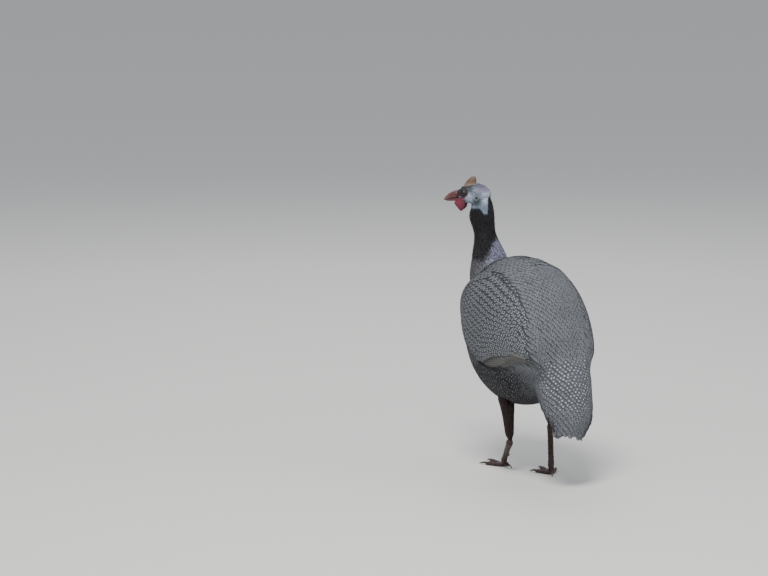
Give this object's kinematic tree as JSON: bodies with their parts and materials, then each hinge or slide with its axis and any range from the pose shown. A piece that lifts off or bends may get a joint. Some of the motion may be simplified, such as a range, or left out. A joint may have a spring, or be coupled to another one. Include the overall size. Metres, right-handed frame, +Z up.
{
  "type": "guinea fowl",
  "caption": "Life-size helmeted guinea fowl in mid-stride, head turned to its left, with folded wings, drooping tail, bony casque and red wattles.",
  "frame": {"origin": "middle of the floor under the bird's outer box", "axes": "+Z up, +X to the bird's left, +Y to its rear, so the breast faces -Y; the head is turned towards +X"},
  "size_m": [0.1732, 0.3672, 0.4648],
  "materials": {
    "plumage": "soft feathers, grey with small white spots",
    "dark_plumage": "soft black-brown feathers",
    "face_skin": "bare bluish-white skin, satin",
    "horn": "dry brown horn, satin",
    "bill_horn": "smooth red-brown horn",
    "wattle_skin": "soft crimson skin, finely wrinkled",
    "eye_gloss": "wet dark brown",
    "leg_scale": "dark brown scaly skin, satin",
    "claw_horn": "dark horn, satin"
  },
  "bodies": {
    "root": {"trunk": "plumage", "wing_left": "plumage", "wing_right": "plumage", "tail": "plumage", "neck": "dark_plumage", "head": "face_skin", "casque": "horn", "bill_upper": "bill_horn", "bill_lower": "bill_horn", "wattle_left": "wattle_skin", "wattle_right": "wattle_skin", "eye_left": "eye_gloss", "eye_right": "eye_gloss", "thigh_left": "dark_plumage", "shank_left": "leg_scale", "foot_left": "leg_scale", "claw_left_inner": "claw_horn", "claw_left_middle": "claw_horn", "claw_left_outer": "claw_horn", "claw_left_hind": "claw_horn", "thigh_right": "dark_plumage", "shank_right": "leg_scale", "foot_right": "leg_scale", "claw_right_inner": "claw_horn", "claw_right_middle": "claw_horn", "claw_right_outer": "claw_horn", "claw_right_hind": "claw_horn"}
  },
  "joints": []
}
